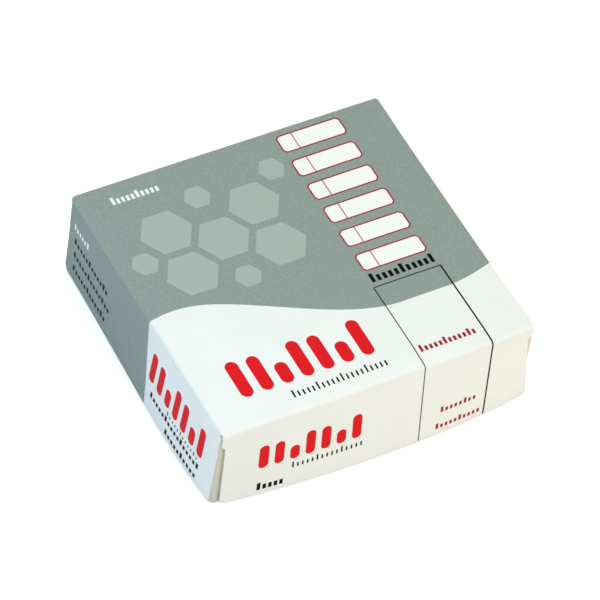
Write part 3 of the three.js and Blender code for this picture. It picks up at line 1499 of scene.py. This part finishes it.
class BoxPrint:
    """Everything printed on the box, laid out in millimetres on the flat blank."""

    feather = 0.12  # how soft an ink's edge is
    cover, cover_swing = 0.985, 0.3  # how much of the board the grey hides, and how that varies

    wave_level = -8.3
    wave = (Ramp(-84, -26, 8.1), Ramp(-41, 17, -20.5), Ramp(29, 76, 10.7))

    cells = (
        Cell(-27.0, 7.5, 6.2), Cell(-14.6, 14.7, 6.2), Cell(-27.0, 21.9, 6.2),
        Cell(-2.2, 7.5, 6.2), Cell(-2.2, 21.9, 6.2), Cell(-14.6, 29.1, 3.2),
        Cell(-36.5, 14.7, 3.2), Cell(-14.6, 1.5, 3.2), Cell(7.2, 30.2, 3.2),
    )

    slide_left, slide_right = 12.7, 31.2
    slide_base, slide_pitch, slide_width, slide_count = -8.8, 8.4, 5.9, 6
    slide_cut = 0.9
    slide_outline = 0.42
    frosted_end = 4.6

    frame_left, frame_right, frame_top = 12.4, 31.6, -14.1
    frame_line, frame_heavy_line = 0.3, 0.46

    tubes = (
        TubeRow(Run.ACROSS, start=-34.8, base=-32.4, length=39.2, height=12.8),
        TubeRow(Run.ACROSS, start=-33.8, base=-57.0, length=30.0, height=9.0),
        TubeRow(Run.LEFT_SKIRT, start=5.8, base=-60.0, length=29.4, height=11.2),
    )

    scales = (
        ScaleRow(Run.ACROSS, -35.5, 34.6, 10, 2.3, Ink.WHITE),
        ScaleRow(Run.ACROSS, 12.7, -12.6, 11, 2.9, Ink.BLACK, pitch=1.7, line=1.02),
        ScaleRow(Run.ACROSS, -22.5, -36.9, 20, 2.3, Ink.BLACK, line=0.5),
        ScaleRow(Run.ACROSS, 13.3, -36.6, 12, 2.1, Ink.DEEP_RED),
        ScaleRow(Run.ACROSS, -24.0, -60.2, 15, 2.0, Ink.BLACK, line=0.5),
        ScaleRow(Run.ACROSS, -33.0, -65.0, 5, 2.6, Ink.BLACK, pitch=1.5, line=0.95),
        ScaleRow(Run.ACROSS, 18.0, -59.0, 8, 1.9, Ink.DEEP_RED),
        ScaleRow(Run.ACROSS, 17.0, -64.6, 10, 1.9, Ink.DEEP_RED),
        ScaleRow(Run.LEFT_SKIRT, -37.6, -51.6, 6, 2.1, Ink.WHITE),
        ScaleRow(Run.LEFT_SKIRT, -36.9, -56.4, 12, 2.1, Ink.BLACK, pitch=1.6, line=1.0),
        ScaleRow(Run.LEFT_SKIRT, -36.6, -61.2, 13, 2.1, Ink.BLACK, pitch=1.6, line=1.0),
        ScaleRow(Run.LEFT_SKIRT, -36.3, -66.0, 12, 2.1, Ink.BLACK, pitch=1.6, line=1.0),
        ScaleRow(Run.LEFT_SKIRT, 17.0, -62.0, 12, 1.4, Ink.BLACK, line=0.42),
        ScaleRow(Run.LEFT_SKIRT, 8.6, -64.5, 16, 1.9, Ink.BLACK, pitch=1.6, line=1.0),
        ScaleRow(Run.LEFT_SKIRT, 17.8, -68.3, 10, 1.9, Ink.BLACK, pitch=1.6, line=1.0),
    )

    def __init__(
        self, finish: Finish, grey_end: float, tab_line: float, skirt_line: float
    ) -> None:
        """Reads the flat blank's coordinates.

        Args:
            finish: The printed face's material.
            grey_end: Distance along the blank at which the grey field ends, under the tray.
            tab_line: Distance along the blank below which a skirt has turned into its glue tab.
            skirt_line: Distance across the blank beyond which the skirts are.
        """
        self.finish = finish
        self.grey_end = grey_end
        self.tab_line = tab_line
        self.skirt_line = skirt_line
        self.across, self.along = finish.map_place(BLANK_MAP)

    def inside(self, distance: Value) -> Value:
        """1 inside a shape, where its distance is negative, with a softened edge."""
        return (0.5 - distance / self.feather).at_least(0.0).at_most(1.0)

    def band(self, place: Value, middle: float, width: float) -> Value:
        """Distance outside a straight band, which is negative inside it."""
        return abs(place - middle) - width / 2

    def divide(self, row: ScaleRow | TubeRow) -> tuple[Value, Value, Value, Value]:
        """Divides a row into the places of its marks or bars.

        Args:
            row: The row.

        Returns:
            A place's number, how far a point is past the middle of that place as a share of
            the pitch, how far up it is, and its distance outside the whole row.
        """
        right, up = self.across, self.along
        if row.run is Run.LEFT_SKIRT:
            right, up = self.along * -1.0, self.across
        step = (right - row.start) / row.pitch
        index = step.floor()
        height = row.height + 2 * row.spare
        outside = self.band(right, row.start + row.length / 2, row.length).at_least(
            self.band(up, row.base - row.spare + height / 2, height)
        )
        return index, step - index - 0.5, up, outside

    def grey_field(self) -> Value:
        """The grey field behind a wavy edge, which runs round the sides and down the back.

        Returns:
            Where it shows.
        """
        edge: Value | float = self.wave_level
        smooth = {"interpolation_type": "SMOOTHSTEP"}
        for ramp in self.wave:
            limits = {"From Min": ramp.start, "From Max": ramp.end, "To Max": ramp.rise}
            inputs = {"Value": self.across, **limits}
            edge = self.finish.value("ShaderNodeMapRange", smooth, inputs) + edge
        return self.inside((edge - self.along).at_least(self.along - self.grey_end))

    def glue_tabs(self) -> Value:
        """The lid's two glue tabs, which are left without coating."""
        beside = self.skirt_line - abs(self.across)
        return self.inside((self.along - self.tab_line).at_least(beside))

    def cell(self, cell: Cell) -> Value:
        """One six-sided cell.

        Args:
            cell: The cell.

        Returns:
            Where it shows.
        """
        x = abs(self.across - cell.across)
        y = abs(self.along - cell.along)
        slanted = x * math.sin(math.pi / 3) + y * math.cos(math.pi / 3)
        return self.inside(slanted.at_least(y) - cell.radius)

    def slides(self) -> tuple[Value, Value]:
        """The column of pictured slides.

        Returns:
            Where their outlines are, with the line of each frosted end, and where they are filled.
        """
        middle = (self.slide_left + self.slide_right) / 2
        half = (self.slide_right - self.slide_left) / 2
        step = (self.along - self.slide_base) / self.slide_pitch
        index = step.floor().at_least(0.0).at_most(self.slide_count - 1.0)
        half_width = self.slide_width / 2
        x = abs(self.across - middle)
        y = abs(self.along - (index * self.slide_pitch + (self.slide_base + half_width)))
        sides = (x - half).at_least(y - half_width)
        cut = (x + y - (half + half_width - self.slide_cut)) * math.cos(math.pi / 4)
        shape = sides.at_least(cut)
        line = abs(self.across - (self.slide_left + self.frosted_end)) - self.slide_outline / 3
        return self.inside(shape), self.inside((shape + self.slide_outline).at_least(line * -1.0))

    def frame_lines(self) -> Value:
        """The black lines of a frame, which is open at its foot and runs over the front fold.

        Returns:
            Where they show.
        """
        width = self.frame_right - self.frame_left
        left = self.band(self.across, self.frame_left, self.frame_line)
        right = self.band(self.across, self.frame_right, self.frame_heavy_line)
        uprights = left.at_most(right).at_least(self.along - self.frame_top)
        top = self.band(self.along, self.frame_top, self.frame_line)
        aside = self.band(self.across, self.frame_left + width / 2, width)
        return self.inside(uprights.at_most(top.at_least(aside)))

    def scale_row(self, row: ScaleRow) -> Value:
        """A row of scale lines, every fifth of them longer.

        Args:
            row: The row.

        Returns:
            Where its lines show.
        """
        index, past, up, outside = self.divide(row)
        offset = abs(past) * row.pitch - row.line / 2
        longer = 1 - (index % row.major).at_most(1.0)
        height = (longer * (1 - row.short) + row.short) * row.height
        return self.inside(offset.at_least(up - row.base - height).at_least(outside))

    def tube_row(self, row: TubeRow) -> Value:
        """A row of round-ended bars, whose heights rise and fall.

        Args:
            row: The row.

        Returns:
            Where its bars show.
        """
        index, past, up, outside = self.divide(row)
        aside = past * row.pitch
        radius = row.pitch * row.thickness
        swing = (index * row.turn + row.first_turn).math("SINE")
        reach = (swing * row.swing + (1 - row.swing)) * row.height
        above = (up - (reach + (row.base - radius))).at_least(0.0)
        below = (up * -1.0 + (row.base + radius)).at_least(0.0)
        beyond = above.at_least(below)
        distance = (aside * aside + beyond * beyond).math("SQRT") - radius
        return self.inside(distance.at_least(outside))

    def colour(self, board: Socket, bare: Colour, speckle: Value) -> Socket:
        """Lays every ink on the board.

        Args:
            board: The coated board's colour.
            bare: The board's colour where it has no coating.
            speckle: A fine noise, which lets a little of the board through the grey.

        Returns:
            The printed colour's socket.
        """
        grey = self.grey_field()
        cover = self.cover - (speckle - 0.5) * self.cover_swing
        outlines, fills = self.slides()
        layers = [
            (grey * cover, Ink.GREY),
            (largest(map(self.cell, self.cells)) * grey * cover, Ink.PALE_GREY),
            (outlines, Ink.DEEP_RED),
            (fills, Ink.WHITE),
            (self.frame_lines(), Ink.BLACK),
            (largest(map(self.tube_row, self.tubes)), Ink.RED),
        ]
        for ink in (Ink.WHITE, Ink.BLACK, Ink.DEEP_RED):
            rows = (self.scale_row(row) for row in self.scales if row.ink is ink)
            layers.append((largest(rows), ink))
        shade = self.finish.mix(self.glue_tabs(), board, bare)
        for shown, ink in layers:
            shade = self.finish.mix(shown, shade, ink.value)
        return shade


# --------------------------------------------------------------------------------------------------
# Finishes
# --------------------------------------------------------------------------------------------------


@dataclass(frozen=True)
class PrintedFace:
    """Clay-coated board, printed and lightly varnished."""

    board: Colour = srgb(232, 237, 234)
    shade: Colour = srgb(110, 118, 116)
    bare: Colour = srgb(206, 206, 188)
    # pale grey at bent folds: cracked coating, and partly a painted highlight along each fold
    cracked_and_painted_highlight: Colour = srgb(208, 212, 202)
    mottle: Grain = Grain(90, 3)
    fibres: Grain = Grain(2600, 2)
    pores: Grain = Grain(700, 3)
    speckle: Grain = Grain(2300, 1)
    relief: Relief = Relief(0.12, 0.04)
    roughness: float = 0.42
    gloss: float = 0.03
    crack_and_highlight_share: float = 0.18  # how much of the bare board a worn fold shows, which partly paints a highlight along the fold
    under_tray: float = 3.0  # how far the grey runs on under the tray
    past_fold: float = 0.4  # how far the coating runs on past a tab's fold

    def make(self, lid: Lid, tray: Tray) -> bpy.types.Material:
        """Makes the material.

        Args:
            lid: The lid, whose folds bound the glue tabs.
            tray: The tray, whose back wall the grey field covers.

        Returns:
            The material.
        """
        finish = Finish("printed_face")
        where = finish.place()
        grains = (self.mottle, self.fibres, self.pores, self.speckle)
        mottle, fibres, pores, speckle = (finish.grain(where, grain) for grain in grains)
        layout = BoxPrint(
            finish,
            grey_end=tray.back_fold_end + self.under_tray,
            tab_line=lid.fold_line - self.past_fold,
            skirt_line=lid.flat_half + lid.carton.side_fold.arc,
        )
        board = finish.mix((mottle - 0.5) * 0.12 + 0.03, self.board, self.shade)
        printed = layout.colour(board, self.bare, speckle)
        bend, _ = finish.map_place(WEAR_MAP)
        # Folds are mixed towards a pale grey: cracked coating, and partly a painted highlight along
        # the grey folds.
        fold_crack_and_highlight = bend * (pores * 0.7 + 0.15)
        finish.surface(
            Base_Color=finish.mix(fold_crack_and_highlight * self.crack_and_highlight_share, printed, self.cracked_and_painted_highlight),
            Roughness=(mottle - 0.5) * 0.12 + (pores - 0.5) * 0.1 + bend * 0.1 + self.roughness,
            Specular_IOR_Level=self.gloss,
        )
        finish.bump(fibres * 0.4 + pores * 0.6, self.relief)
        return finish.material


@dataclass(frozen=True)
class InnerFace:
    """The uncoated back of the board."""

    board: Colour = srgb(222, 219, 208)
    fibre: Colour = srgb(188, 183, 168)
    fibres: Grain = Grain(2200, 4, 0.6)
    cloud: Grain = Grain(160, 3)
    stretch: Colour = (1.0, 0.25, 1.0)  # the fibres lie along the box
    relief: Relief = Relief(0.25, 0.06)
    gloss: float = 0.3

    def make(self) -> bpy.types.Material:
        """Makes the material.

        Returns:
            The material.
        """
        finish = Finish("inner_face")
        where = finish.place()
        scaled = finish.node("ShaderNodeMapping", {}, {"Vector": where, "Scale": self.stretch})
        fibres = finish.grain(scaled.outputs[0], self.fibres)
        cloud = finish.grain(where, self.cloud)
        colour = finish.mix((fibres - 0.35) * 1.2 + (cloud - 0.5) * 0.5, self.board, self.fibre)
        finish.surface(
            Base_Color=colour, Roughness=cloud * 0.1 + 0.8, Specular_IOR_Level=self.gloss
        )
        finish.bump(fibres, self.relief)
        return finish.material


@dataclass(frozen=True)
class CutEdge:
    """The die-cut edge, which shows the board's plies."""

    ply: Colour = srgb(206, 203, 184)
    core: Colour = srgb(176, 171, 148)
    fibres: Grain = Grain(3200, 3, 0.65)
    cloud: Grain = Grain(420, 2)
    relief: Relief = Relief(0.35, 0.08)
    gloss: float = 0.25

    def make(self) -> bpy.types.Material:
        """Makes the material.

        Returns:
            The material.
        """
        finish = Finish("cut_edge")
        where = finish.place()
        fibres, cloud = (finish.grain(where, grain) for grain in (self.fibres, self.cloud))
        colour = finish.mix(fibres * 0.8 + (cloud - 0.5) * 0.6, self.ply, self.core)
        finish.surface(
            Base_Color=colour, Roughness=fibres * 0.1 + 0.82, Specular_IOR_Level=self.gloss
        )
        finish.bump(fibres, self.relief)
        return finish.material


@dataclass(frozen=True)
class ClearGlass:
    """Polished soda-lime glass, a little green."""

    tint: Colour = srgb(236, 247, 241)
    film: Grain = Grain(120, 3)
    clearness: float = 0.9
    refraction: float = 1.52

    def make(self) -> bpy.types.Material:
        """Makes the material.

        Returns:
            The material.
        """
        finish = Finish("clear_glass")
        finish.surface(
            Base_Color=self.tint,
            Roughness=finish.grain(finish.place(), self.film) * 0.08,
            Transmission_Weight=self.clearness,
            IOR=self.refraction,
        )
        return finish.material


@dataclass(frozen=True)
class GroundGlass:
    """The ground edge of a slide, frosted and greener than its faces."""

    pale: Colour = srgb(214, 232, 224)
    deep: Colour = srgb(150, 186, 172)
    grind: Grain = Grain(1500, 4, 0.7)
    cloud: Grain = Grain(90, 2)
    relief: Relief = Relief(0.2, 0.04)
    clearness: float = 0.35
    refraction: float = 1.52

    def make(self) -> bpy.types.Material:
        """Makes the material.

        Returns:
            The material.
        """
        finish = Finish("ground_glass")
        where = finish.place()
        grind, cloud = (finish.grain(where, grain) for grain in (self.grind, self.cloud))
        finish.surface(
            Base_Color=finish.mix(grind * 0.7 + (cloud - 0.5) * 0.6, self.pale, self.deep),
            Roughness=grind * 0.2 + 0.35,
            Transmission_Weight=self.clearness,
            IOR=self.refraction,
        )
        finish.bump(grind, self.relief)
        return finish.material


# --------------------------------------------------------------------------------------------------
# Studio
# --------------------------------------------------------------------------------------------------


def aim(place: Vector, direction: Vector, roll: float = 0.0) -> Matrix:
    """Places a lamp or a camera and turns it.

    Args:
        place: Where it hangs, in metres.
        direction: Which way it points.
        roll: Degrees that it is turned about its own line of sight.

    Returns:
        Its matrix.
    """
    look = direction.to_track_quat("-Z", "Y").to_matrix().to_4x4()
    return Matrix.Translation(place) @ look @ Matrix.Rotation(math.radians(roll), 4, "Z")


@dataclass(frozen=True)
class Lamp:
    """A soft square lamp: its place and side in metres, its power in watts, and its colour."""

    name: str
    place: tuple[float, float, float]
    size: float
    power: float
    colour: Colour

    def hang(self, target: Vector) -> None:
        """Hangs the lamp so that it points at its target.

        Args:
            target: What it points at, in metres.
        """
        light = bpy.data.lights.new(self.name, "AREA")
        light.size = self.size
        light.energy = self.power
        light.color = self.colour
        place = Vector(self.place)
        add_object(self.name, light, aim(place, target - place))


@dataclass
class Studio:
    """A pale bench, soft light and one camera."""

    target: Vector
    distance: float = 1162.0
    azimuth: float = 36.5  # degrees from the front towards the left side
    elevation: float = 50.0
    roll: float = 10.66
    focal_length: float = 279.4
    sensor: float = 36.0
    clip: Pair = (0.01, 50.0)  # metres
    bench_size: float = 6000.0
    bench_level: float = -0.1  # just under the box
    bench_colour: Colour = srgb(236, 233, 227)
    bench_glow: Colour = (0.45, 0.45, 0.45)
    sky: Colour = (0.507, 0.564, 0.587)
    lamps: tuple[Lamp, ...] = (
        Lamp("front_light", (0.33, -0.52, 0.29), 0.45, 2.2, (1.0, 0.79, 0.61)),
        Lamp("left_light", (-0.28, -0.02, 0.28), 0.14, 0.53, (0.52, 0.68, 1.0)),
        Lamp("top_light", (0.10, 0.20, 0.80), 0.60, 2.25, (1.0, 0.87, 0.58)),
    )

    def camera(self) -> None:
        """Places the camera, which looks down on the box from its front left."""
        turn, rise = math.radians(self.azimuth), math.radians(self.elevation)
        level, up = self.distance * math.cos(rise), self.distance * math.sin(rise)
        offset = Vector((-level * math.sin(turn), -level * math.cos(turn), up))
        camera = bpy.data.cameras.new("camera")
        camera.lens = self.focal_length
        camera.sensor_width = self.sensor
        camera.clip_start, camera.clip_end = self.clip
        place = aim((self.target + offset) * MM, -offset, self.roll)
        bpy.context.scene.camera = add_object("camera", camera, place)

    def bench(self) -> None:
        """Lays the bench, which is white to the camera and keeps the box's shadow."""
        half, level = self.bench_size / 2, self.bench_level
        signs = ((-1, -1), (1, -1), (1, 1), (-1, 1))
        corners = [Vector((x * half, y * half, level)) for x, y in signs]
        finish = Finish("bench")
        finish.surface(
            Base_Color=self.bench_colour,
            Roughness=0.9,
            Specular_IOR_Level=0.0,
            Emission_Color=finish.mix(finish.seen(), (0.0, 0.0, 0.0), self.bench_glow),
            Emission_Strength=1.0,
        )
        bench = make_piece("bench", corners, [(0, 1, 2, 3)], [0], [finish.material])

    def world(self) -> None:
        """Lights the box evenly from all round, a little cool, behind a white background."""
        world = bpy.data.worlds.new("studio")
        world.use_nodes = True
        bpy.context.scene.world = world
        nodes = Nodes(world.node_tree)
        light = nodes.mix(nodes.seen(), self.sky, (1.0, 1.0, 1.0))
        nodes.feed(nodes.tree.nodes["Background"], "Color", light)

    def build(self) -> None:
        """Sets up the whole studio."""
        self.camera()
        self.bench()
        self.world()
        for lamp in self.lamps:
            lamp.hang(self.target * MM)
        bpy.context.scene.view_settings.view_transform = "Standard"


def read_carton() -> Carton:
    """Takes the folded box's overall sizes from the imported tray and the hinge.

    Returns:
        The carton.
    """
    board, lid_clearance = 0.5, 0.4
    _, tray_high = (Vector(corner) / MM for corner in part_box("tray"))
    hinge = next(joint for joint in frame["joints"] if joint["name"] == "lid_hinge")
    back, height = (value / MM for value in hinge["pos_m"][1:])
    half_width = tray_high.x + lid_clearance + board
    return Carton(half_width=half_width, front=-back, back=back, height=height, board=board)


def main() -> None:
    """Builds the box and its studio."""
    logging.basicConfig(level=logging.INFO, format="%(name)s: %(message)s")
    noise.seed_set(WARP_SEED)
    carton = read_carton()
    lid_low, _ = (Vector(corner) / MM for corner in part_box("lid"))
    tray_low, tray_high = (Vector(corner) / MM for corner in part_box("tray"))

    lid = Lid(carton, bow=carton.front - lid_low.y)
    tray = Tray(carton, half_width=tray_high.x, front=tray_low.y)
    crease = HingeCrease(lid, tray)

    board = (PrintedFace().make(lid, tray), InnerFace().make(), CutEdge().make())
    glass = (ClearGlass().make(), GroundGlass().make())

    pieces = [part.build(board) for part in (lid, tray, crease)] + SlideStack().build(glass)
    for piece in pieces:
        log.info("%s: %d faces", piece.name, len(piece.data.polygons))

    Studio(target=Vector((0.26, -1.4, 13.0))).build()


if __name__ == "__main__":
    main()
